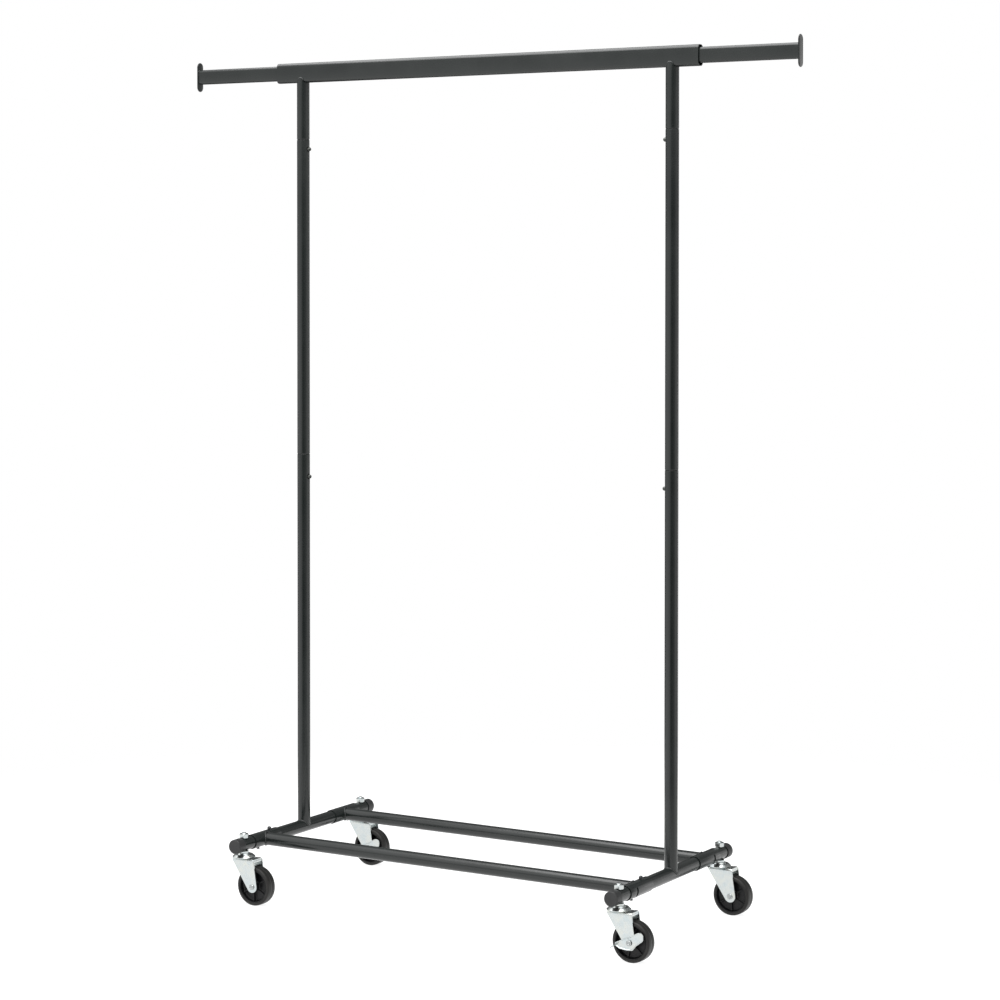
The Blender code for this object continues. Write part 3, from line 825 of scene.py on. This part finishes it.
def snap_button(side, level):
    """A domed button that stands out of its hole."""
    node = f"{side}_{level}_button"
    lowest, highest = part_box(node)
    centre = middle(node)
    if level == "sleeve":
        place, length = at(centre.x, centre.y, lowest.z), size(node).z
        material, slot = BLACK_STEEL, "black_button"
    else:
        start, turned = (lowest.x, ALONG_X) if side == "left" else (highest.x, AGAINST_X)
        place, length = at(start, centre.y, centre.z) @ turned, size(node).x
        material, slot = BUTTON, "zinc"
    profile = [(0.0, length)]
    profile += [(BUTTON_R * sin(a), length - BUTTON_R + BUTTON_R * cos(a)) for a in quarter_turn(10)]
    profile += [(BUTTON_R, BUTTON_FLANGE), (BUTTON_FLANGE_R, BUTTON_FLANGE)]
    profile += [(BUTTON_FLANGE_R, 0), (0, 0)]
    bm = bmesh.new()
    turn(bm, profile, place, segments=40)
    finished(smooth(as_object(f"{side}_{level}_snap_button", bm)), material, node, slot, node)


def v_spring(side, level):
    """The bent strip behind a button. It closes towards the far wall as the button is pressed."""
    button = f"{side}_{level}_button"
    node = f"{button}_spring"
    outward, along = (Z_AXIS, Y_AXIS) if level == "sleeve" else (-SIDES[side] * X_AXIS, Z_AXIS)
    offset = middle(node) - middle(button)
    if offset.dot(along) < 0:
        along = -along
    depth, reach = abs(size(node).dot(outward)), abs(size(node).dot(along))
    across = outward.cross(along)
    half_width = abs(size(node).dot(across)) / 2
    anchor = middle(node) - outward * depth / 2
    origin = anchor - along * offset.dot(along)
    skin = SPRING_SHEET / 2
    tip = reach - SPRING_PAD_HALF - skin
    route = filleted(
        [
            (-SPRING_PAD_HALF, depth - skin),
            (SPRING_PAD_HALF, depth - skin, 0.004),
            (tip, depth / 2 + SPRING_BEND, 0.002),
            (tip, depth / 2 - SPRING_BEND, 0.002),
            (-SPRING_PAD_HALF, skin),
        ]
    )
    bm = bmesh.new()
    rows = [
        [origin + along * u + outward * w + across * v for u, w in route]
        for v in (-half_width, 0, half_width)
    ]
    loft(bm, rows, cyclic=False)
    piece = thickened(as_object(f"{side}_{level}_v_spring", bm), SPRING_SHEET, 0.0002)
    finished(smooth(piece), SPRING, "root", "spring", node)
    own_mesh(piece)


# ------------------------------------------------------------------- hang bar


def box_tube(name, low_x, high_x, height, depth, corner):
    """A rectangular tube along X with rounded corners and softened ends."""
    rim, wall = 0.0003, TUBE_WALL
    bm = bmesh.new()

    def row(x, inset):
        outline = rounded_rectangle(height - 2 * inset, depth - 2 * inset, corner - inset)
        return [Vector((x, y, BAR_Z + z)) for z, y in outline]

    rows = [
        row(low_x, rim),
        row(low_x + rim, 0),
        row(high_x - rim, 0),
        row(high_x, rim),
        row(high_x, wall - rim / 2),
        row(high_x - rim / 2, wall),
        row(low_x + rim / 2, wall),
        row(low_x, wall - rim / 2),
    ]
    loft(bm, rows, close=True)
    return as_object(name, bm)


def hang_bar():
    """The bar itself, without its arms."""
    piece = box_tube("top_bar", BAR_LOW.x, BAR_HIGH.x, BAR_HEIGHT, BAR_DEPTH, BAR_CORNER)
    coated(piece, "hang_bar", angle=40)


def sliding_arm(side, sign):
    """An arm in the bar's end, with an oval plate welded on its tip."""
    body = f"{side}_sliding_arm"
    arm, plate = f"{side}_arm", f"{side}_arm_end_plate"
    _, depth, height = size(arm)
    tube = box_tube(f"{side}_arm_tube", low(arm).x, high(arm).x, height, depth, ARM_CORNER)
    coated(tube, arm, body, 40)
    thickness, plate_depth, plate_height = size(plate)
    oval = rounded_rectangle(plate_height, plate_depth, plate_depth / 2 - 0.00005, 14)
    bm = bmesh.new()
    extrude(bm, oval, thickness, at(*middle(plate)) @ ALONG_X)
    coated(soften(as_object(f"{side}_stop_plate", bm), 0.0009, 5), plate, body, 60)
    inner_x = low(plate).x if sign > 0 else high(plate).x
    path = []
    for z, y in rounded_rectangle(height, depth, ARM_CORNER, 6):
        outward = Vector((-sign, copysign(0.6, y), copysign(0.6, z)))
        path.append((Vector((inner_x, y, BAR_Z + z)), outward.normalized()))
    weld(f"{side}_plate_weld", path, 0.0007, 4, body, plate)


# -------------------------------------------------------------------- casters


def caster(end, side):
    """All pieces of the caster at one corner, with a brake lever where the frame has one."""
    corner = f"{end}_{side}"
    x, y = SIDES[side] * POST_X, ENDS[end] * CASTER_Y
    for build in (caster_head, caster_nut, fork, axle, wheel):
        build(corner, x, y)
    if f"{corner}_caster_brake_lever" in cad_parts:
        brake_lever(corner, x)


def caster_head(corner, x, y):
    """Stem with its thread, hexagon collar, ridged race cover and kingpin."""
    node = f"{corner}_caster_head"
    lowest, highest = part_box(node)
    under = BASE_Z - TUBE_R - GAP
    race_r = size(node).x / 2
    crown = high(f"{corner}_caster_fork").z
    ridges = [
        (race_r * 0.58, crown + 0.0056, 0.0010),
        (race_r * 0.66, crown + 0.0052, 0.0006),
        (race_r * 0.72, crown + 0.0062, 0.0009),
        (race_r * 0.80, crown + 0.0058, 0.0009),
        (race_r, crown + 0.0018, 0.0005),
        (race_r, crown + 0.0007, 0.0003),
        (race_r * 0.93, crown + 0.0007),
        (race_r * 0.90, crown + GAP),
    ]
    top = [(0.0, under - COLLAR_HEIGHT), (race_r * 0.52, under - COLLAR_HEIGHT, 0.0008)]
    bm = bmesh.new()
    turn(bm, filleted(top + ridges + [(0.0, crown + GAP)]), at(x, y, 0), segments=72)
    under_crown = crown - SHEET - GAP
    kingpin = filleted(
        [
            (0.0, crown + GAP),
            (KINGPIN_R, crown + GAP),
            (KINGPIN_R, under_crown),
            (KINGPIN_HEAD_R, under_crown, 0.0004),
            (KINGPIN_HEAD_R * 0.9, lowest.z, 0.0006),
            (0.0, lowest.z),
        ]
    )
    turn(bm, kingpin, at(x, y, 0), segments=40)
    extrude(bm, hexagon(COLLAR_R), COLLAR_HEIGHT, at(x, y, under - COLLAR_HEIGHT / 2))
    thread(bm, STEM_R, under, highest.z, at(x, y, 0))
    piece = smooth(as_object(f"{corner}_stem_and_race", bm), 38)
    finished(piece, ZINC, "root", "zinc", node)


def thread(bm, radius, bottom, top, place):
    """A helical thread with a chamfered end."""
    pitch, depth, chamfer = 0.0015, 0.0007, 0.0008
    steps, segments = 8, 36
    count = int((top - bottom) / pitch * steps)
    rows = []
    for row in range(count + 1):
        z = bottom + (top - bottom) * row / count
        ring = []
        for i in range(segments):
            angle = 2 * pi * i / segments
            phase = ((z - bottom) / pitch - i / segments) % 1
            r = radius - depth * abs(2 * phase - 1) - max(0.0, z - (top - chamfer))
            ring.append(place @ Vector((r * cos(angle), r * sin(angle), z)))
        rows.append(ring)
    made = loft(bm, rows)
    bm.faces.new(made[0])
    bm.faces.new(made[-1])


def caster_nut(corner, x, y):
    """A hexagon nut whose corners are turned off at both faces."""
    node = f"{corner}_caster_nut"
    lowest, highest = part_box(node)
    centre = at(x, y, middle(node).z)
    corner_r = size(node).x / 2
    bm = bmesh.new()
    extrude(bm, hexagon(corner_r), size(node).z, centre)
    nut = as_object(f"{corner}_stem_nut", bm)
    face_r = corner_r * cos(pi / 6) * 0.98
    drop = (corner_r - face_r) * tan(radians(30))
    profile = [
        (0.0, highest.z),
        (face_r, highest.z),
        (corner_r, highest.z - drop),
        (corner_r, lowest.z + drop),
        (face_r, lowest.z),
        (0.0, lowest.z),
    ]
    bm = bmesh.new()
    turn(bm, profile, at(x, y, 0))
    carve(nut, [as_object("cutter", bm)], "INTERSECT")
    carve(nut, [plug(NUT_BORE_R, 0.02, centre)])
    finished(smooth(nut, 25), ZINC, "root", "zinc", node)


def leg_edges(z, top, end_r):
    """Where the front and the rear edge of a fork's leg are at height z, from the stem's axis."""
    found = []
    for corner, sign in ((CROWN_FRONT, -1), (CROWN_BACK, 1)):
        run, rise = corner - TRAIL, top - WHEEL_R
        touch = atan2(run, rise) + sign * acos(end_r / hypot(run, rise))
        touch_x, touch_z = TRAIL + end_r * sin(touch), WHEEL_R + end_r * cos(touch)
        if z >= touch_z:
            found.append(touch_x + (corner - touch_x) * (z - touch_z) / (top - touch_z))
        else:
            found.append(TRAIL + sign * sqrt(max(0.0, end_r**2 - (z - WHEEL_R) ** 2)))
    return found


def fork_route(half, top, end_r):
    """The way of the sheet, as (y, z): up one leg, over the crown and down the other leg."""
    round_end = [WHEEL_R - end_r * cos(radians(4 + 8 * i)) for i in range(12)]
    straight = top - FORK_BEND - round_end[-1]
    leg = round_end + [round_end[-1] + straight * i / 10 for i in range(1, 11)]
    near = [(-half, z) for z in leg]
    near += [
        (-half + FORK_BEND - FORK_BEND * cos(a), top - FORK_BEND + FORK_BEND * sin(a))
        for a in quarter_turn()
    ]
    flat = half - FORK_BEND
    crown = [(-flat + 2 * flat * i / 14, top) for i in range(1, 14)]
    return near + crown + [(-v, z) for v, z in reversed(near)]


def fork(corner, x, y):
    """The stamped fork: one sheet bent into two legs and a crown, with a turned-down rear edge."""
    node = f"{corner}_caster_fork"
    lowest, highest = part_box(node)
    half = high(f"{corner}_caster_axle").y - y - RIVET_HEAD - GAP - SHEET / 2
    top = highest.z - SHEET / 2
    end_r = WHEEL_R - lowest.z
    crown_r = x - lowest.x
    columns = 12
    rows = []
    for v, z in fork_route(half, top, end_r):
        first, last = leg_edges(z, top, end_r)
        if z > top - FORK_BEND and abs(v) < crown_r:
            first = min(first, -sqrt(crown_r**2 - v**2))
        steps = [first + (last - first) * i / columns for i in range(columns + 1)]
        rows.append([Vector((x + u, y + v, z)) for u in steps])
    bm = bmesh.new()
    loft(bm, rows, cyclic=False)
    piece = thickened(as_object(f"{corner}_bent_fork", bm), SHEET)
    join(piece, fork_lip(x + CROWN_BACK, y, top, half))
    body = f"{corner}_caster_swivelling_fork"
    finished(smooth(piece, 45), ZINC, body, "zinc", node)


def fork_lip(x, y, top, half):
    """The crown's rear edge, turned down."""
    start = -0.006
    bent = [(-LIP_BEND + LIP_BEND * sin(a), -LIP_BEND + LIP_BEND * cos(a)) for a in quarter_turn()]
    route = [(start, 0.0), (-LIP_BEND, 0.0)] + bent + [(0.0, -LIP_DROP)]
    bm = bmesh.new()
    rows = [
        [Vector((x - SHEET / 2 + u, y + v, top + w)) for u, w in route]
        for v in [-half + 2 * half * i / 8 for i in range(9)]
    ]
    loft(bm, rows, cyclic=False)
    return thickened(as_object("lip", bm), SHEET * 0.96)


def rolled_head(head_r, face, sign):
    """The outline of a rivet's head, from its axis to its shank, inwards from its outer face."""
    outline = [
        (0.0, 0.0011),
        (head_r * 0.35, 0.0011, 0.0006),
        (head_r * 0.58, 0.0001, 0.0008),
        (head_r * 0.82, 0.0, 0.0008),
        (head_r, 0.0011, 0.0006),
        (head_r * 0.93, RIVET_HEAD, 0.0002),
        (ROD_R, RIVET_HEAD),
    ]
    return [(r, face - sign * depth) for r, depth in filleted(outline)]


def axle(corner, x, y):
    """The wheel's rivet: a rolled ring round a sunk middle at each end."""
    node = f"{corner}_caster_axle"
    head_r = size(node).z / 2
    far, near = rolled_head(head_r, high(node).y - y, 1), rolled_head(head_r, low(node).y - y, -1)
    bm = bmesh.new()
    turn(bm, far + near[::-1], at(x + TRAIL, y, WHEEL_R) @ ALONG_Y, segments=48)
    body = f"{corner}_caster_swivelling_fork"
    finished(smooth(as_object(f"{corner}_wheel_rivet", bm), 50), RIVET, body, "zinc", node)


def wheel_face(hub_half):
    """A wheel's side from its bore to its rim: (radius, distance from the middle, share of a rib)."""
    half = hub_half - 0.0002
    web_from, web_to = HUB_R + 0.0022, RIM_R - 0.0022
    hub = [
        (WHEEL_BORE_R, hub_half, 0),
        (HUB_R - 0.0012, hub_half, 0),
        (HUB_R - 0.0003, hub_half - 0.0004, 0),
        (HUB_R, hub_half - 0.0014, 0),
        (HUB_R + 0.0004, RIB_FACE + 0.0002, 0),
        (HUB_R + 0.0008, RIB_FACE - 0.0008, 0.6),
        (HUB_R + 0.0012, WEB_HALF + 0.0008, 0.95),
    ]
    web = [(web_from + (web_to - web_from) * i / 6, WEB_HALF, 1) for i in range(7)]
    rim = [
        (RIM_R - 0.0010, WEB_HALF + 0.0008, 0.95),
        (RIM_R - 0.0003, RIB_FACE - 0.0008, 0.5),
        (RIM_R, half - 0.0012, 0),
        (RIM_R + 0.0006, half - 0.0003, 0),
        (RIM_R + 0.0014, half, 0),
        (RIM_R + 0.0016, half - 0.0003, 0),
        (RIM_R + 0.0016, 0.0002, 0),
    ]
    return hub + web + rim


def ribbed_ring(r, phase):
    """The angles round a wheel at radius r, each with the height that a rib has there."""
    offsets = (-RIB_HALF, -0.0013, -0.0008, 0.0008, 0.0013, RIB_HALF)
    heights = (0.0, 0.12, 1.0, 1.0, 0.12, 0.0)
    between = 12
    even_r = max(r, 0.0045)
    near = RIB_HALF / even_r
    step = (2 * pi / RIBS - 2 * near) / (between + 1)
    ring = []
    for k in range(RIBS):
        start = phase + 2 * pi * k / RIBS
        ring += [(start + offset / even_r, height) for offset, height in zip(offsets, heights)]
        ring += [(start + near + step * i, 0.0) for i in range(1, between + 1)]
    return ring


def wheel(corner, x, y):
    """A moulded wheel with a recessed web, ribs and a hub, and its tread."""
    node = f"{corner}_caster_wheel"
    body = f"{corner}_caster_rolling_wheel"
    hub_half = size(node).y / 2
    phase = radians(-90 + WHEEL_PHASE[corner])
    face = wheel_face(hub_half)
    rows = []
    for sign, order in ((1, face), (-1, face[::-1])):
        for r, depth, share in order:
            row = []
            for angle, height in ribbed_ring(r, phase):
                out = depth + share * height * (RIB_FACE - depth)
                row.append(Vector((r * cos(angle), sign * out, r * sin(angle))))
            rows.append(row)
    bm = bmesh.new()
    loft(bm, rows, close=True)
    bm.transform(at(x + TRAIL, y, WHEEL_R))
    piece = smooth(as_object(f"{corner}_moulded_wheel", bm), 50)
    finished(piece, WHEEL, body, "wheel", node)
    piece = tread(f"{corner}_wheel_tread", hub_half - 0.0002, at(x + TRAIL, y, WHEEL_R))
    finished(piece, TREAD, body, "wheel", node)


def tread(name, half, place):
    """A crowned tread round the rim, with rounded shoulders and a parting line."""
    seat, edge, flat = RIM_R + 0.0018, WHEEL_R - 0.0004, half - 0.0028
    start = seat + 0.001
    upper = [(seat, half - 0.0003), (seat + 0.0004, half)]
    upper += [
        (start + (edge - start) * cos(a), flat + (half - flat) * sin(a))
        for a in [radians(90 - 9 * i) for i in range(1, 10)]
    ]
    upper += [(edge, flat), (WHEEL_R - 0.0001, flat * 0.5), (WHEEL_R, 0.0004)]
    parting = [(WHEEL_R - 0.0002, 0.0)]
    lower = [(r, -depth) for r, depth in reversed(upper)]
    bm = bmesh.new()
    turn(bm, upper + parting + lower, place @ ALONG_Y, segments=128, closed=True)
    return smooth(as_object(name, bm), 50)


def brake_lever(corner, x):
    """The stamped brake lever with the sloping foot tab turned out of its tip."""
    node = f"{corner}_caster_brake_lever"
    outline = filleted(
        [
            (-0.0280, -0.0075, 0.0030),
            (-0.0200, -0.0122, 0.0060),
            (-0.0060, -0.0138, 0.0080),
            (0.0072, -0.0130, 0.0040),
            (0.0150, -0.0035, 0.0060),
            (0.0290, 0.0070, 0.0060),
            (0.0287, 0.0212, 0.0060),
            (0.0180, 0.0205, 0.0060),
            (0.0020, 0.0118, 0.0080),
            (-0.0130, 0.0055, 0.0080),
            (-0.0288, -0.0022, 0.0020),
        ]
    )
    centre_y = high(node).y - LEVER_SHEET / 2
    bm = bmesh.new()
    extrude(bm, outline, LEVER_SHEET, at(x + TRAIL, centre_y, WHEEL_R) @ TOWARDS_FRONT)
    press_rim(bm, centre_y - LEVER_SHEET / 2)
    piece = soften(as_object(f"{corner}_foot_lever", bm), 0.0003, 3)
    join(piece, foot_tab(at(x + TRAIL - 0.0262, centre_y, WHEEL_R - 0.0045)))
    finished(smooth(piece, 45), ZINC, f"{corner}_caster_foot_brake", "zinc", node)


def foot_tab(root):
    """The tab that a foot presses. It slopes down and out from its root at the lever's tip."""
    leaning = Matrix.Rotation(radians(-32), 4, "Y") @ Matrix.Rotation(radians(6), 4, "X")
    inside_lever = 0.001
    outwards = at(inside_lever - TAB_LENGTH / 2, -TAB_WIDTH / 2, 0)
    bm = bmesh.new()
    shape = rounded_rectangle(TAB_LENGTH, TAB_WIDTH, 0.0025)
    extrude(bm, shape, TAB_SHEET, root @ leaning @ outwards)
    return soften(as_object("tab", bm), 0.0004, 3)


def press_rim(bm, front_y):
    """Presses the middle of the lever's front face in, which leaves a raised rim."""
    bm.normal_update()
    front = [face for face in bm.faces if abs(face.calc_center_median().y - front_y) < 1e-5]
    rim, slope, pressed = 0.0013, 0.0006, 0.0008
    bmesh.ops.inset_region(bm, faces=front, thickness=rim, depth=0.0)
    bmesh.ops.inset_region(bm, faces=front, thickness=slope, depth=-pressed)


# ----------------------------------------------------------------- the rack


def colour_glides():
    """The glides stay as the CAD has them, hidden in the bar, with their own plastic."""
    for side in SIDES:
        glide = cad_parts[f"{side}_arm_glide"]
        glide.data.materials.clear()
        glide.data.materials.append(GLIDE)


for end in ENDS:
    base_rail(end)
    for side in SIDES:
        end_cap(end, side)
        guide_pin(end, side)
        caster(end, side)
for side, sign in SIDES.items():
    base_tube(side)
    lower_tube(side)
    middle_tube(side)
    top_tube(side)
    for level in ("lower", "upper", "sleeve"):
        snap_button(side, level)
        v_spring(side, level)
    sliding_arm(side, sign)
hang_bar()
colour_glides()


# ------------------------------------------------------------ studio and camera


def studio():
    """A pale floor that fades into a white surround, one soft box overhead and soft walls of light."""
    bm = bmesh.new()
    bmesh.ops.create_circle(bm, cap_ends=True, radius=FLOOR_RADIUS, segments=96)
    floor = as_object("floor", bm)
    floor.data.materials.append(pale_floor())
    surround()
    soft_box()


def pale_floor():
    """A pale, matt floor, which turns see-through towards its rim."""
    nodes = Surface("pale_floor", (0.25, 0.25, 0.25), 0.0, 0.8)
    tone = nodes.noise(0.6, 2)
    nodes.paint(nodes.colours(tone, [(0.3, (0.24, 0.24, 0.24)), (0.7, (0.26, 0.26, 0.26))]))
    length = nodes.add("ShaderNodeVectorMath")
    length.operation = "LENGTH"
    nodes.link(nodes.place, length.inputs[0])
    fade = nodes.spread(length.outputs["Value"], FLOOR_RADIUS * 0.6, FLOOR_RADIUS, 1.0, 0.0)
    nodes.link(fade, nodes.shader.inputs["Alpha"])
    nodes.shader.inputs["Emission Color"].default_value = (1, 1, 1, 1)
    nodes.shader.inputs["Emission Strength"].default_value = 0.88
    return nodes.material


FLOOR_RADIUS = 1.8

# How bright the walls round the rack are for the light they shed, by compass direction:
# (degrees from the rack's front towards its right side, radiance). The camera sees plain white.
WALLS = [
    (-180, 0.10), (-150, 0.07), (-122, 0.10), (-100, 0.45), (-72, 1.20), (-45, 1.45),
    (-22, 1.30), (-2, 1.15), (12, 0.25), (34, 0.12), (54, 0.30), (72, 0.42),
    (92, 1.00), (114, 1.35), (132, 0.70), (144, 0.40), (156, 2.30), (168, 0.40),
]
SKY_RADIANCE = 1.7
BACK_SKY_RADIANCE = 0.28
LOW_WALL_SHARE = 0.62


def surround():
    """Soft walls of light round the rack, with the dark gaps that draw the edges of the tubes."""
    world = bpy.data.worlds.new("surround")
    bpy.context.scene.world = world
    world.use_nodes = True
    nodes = Nodes(world.node_tree)
    axes = nodes.add("ShaderNodeSeparateXYZ")
    nodes.link(nodes.add("ShaderNodeTexCoord").outputs["Generated"], axes.inputs["Vector"])
    height = axes.outputs["Z"]
    front = nodes.calculated("MULTIPLY", axes.outputs["Y"], -1)
    compass = nodes.calculated("ARCTAN2", axes.outputs["X"], front)
    walls = nodes.add("ShaderNodeValToRGB")
    walls.color_ramp.interpolation = "EASE"
    while len(walls.color_ramp.elements) < len(WALLS):
        walls.color_ramp.elements.new(1.0)
    for element, (degrees, value) in zip(walls.color_ramp.elements, WALLS):
        element.position = (degrees + 180) / 360
        element.color = (value, value, value, 1)
    nodes.link(nodes.spread(compass, -pi, pi, 0, 1), walls.inputs["Fac"])
    upwards = nodes.spread(height, -0.03, 0.08, 1.0, LOW_WALL_SHARE)
    low_walls = nodes.calculated("MULTIPLY", walls.outputs["Color"], upwards)
    sky = nodes.spread(front, -0.4, 0.0, BACK_SKY_RADIANCE, SKY_RADIANCE)
    steep = nodes.spread(height, 0.20, 0.36, 0, 1)
    above = nodes.calculated("MULTIPLY", sky, steep)
    below = nodes.calculated("MULTIPLY", low_walls, nodes.calculated("SUBTRACT", 1, steep))
    shed = nodes.calculated("ADD", above, below)
    to_camera = nodes.add("ShaderNodeLightPath").outputs["Is Camera Ray"]
    result = nodes.calculated("MAXIMUM", shed, to_camera)
    nodes.link(result, world.node_tree.nodes["Background"].inputs["Color"])


def soft_box():
    """A large rectangular light overhead, which looks straight down."""
    light = bpy.data.lights.new("overhead", "AREA")
    light.shape = "RECTANGLE"
    light.size = 2.6
    light.size_y = 2.3
    light.energy = 78
    obj = bpy.data.objects.new("overhead", light)
    bpy.context.scene.collection.objects.link(obj)
    obj.location = (0.0, -0.65, 2.65)


CAMERA_PLACE = (2.6939, -4.4325, 1.2555)
AZIMUTH, PITCH, ROLL = radians(30.86), radians(1.25), radians(0.026)
LENS = 95.695
LENS_SHIFT = -0.1747


def camera():
    """A long lens to the right of the rack, nearly level, with its view shifted down to the base."""
    data = bpy.data.cameras.new("camera")
    data.sensor_width = 36
    data.lens = LENS
    data.shift_y = LENS_SHIFT
    obj = bpy.data.objects.new("camera", data)
    bpy.context.scene.collection.objects.link(obj)
    level = Vector((cos(AZIMUTH), sin(AZIMUTH), 0))
    view = Vector((-sin(AZIMUTH) * cos(PITCH), cos(AZIMUTH) * cos(PITCH), -sin(PITCH)))
    raised = level.cross(view)
    right = level * cos(ROLL) + raised * sin(ROLL)
    up = raised * cos(ROLL) - level * sin(ROLL)
    axes = Matrix((right, up, -view)).transposed()
    obj.matrix_world = at(*CAMERA_PLACE) @ axes.to_4x4()
    bpy.context.scene.camera = obj


studio()
camera()
bpy.context.scene.view_settings.view_transform = "Standard"
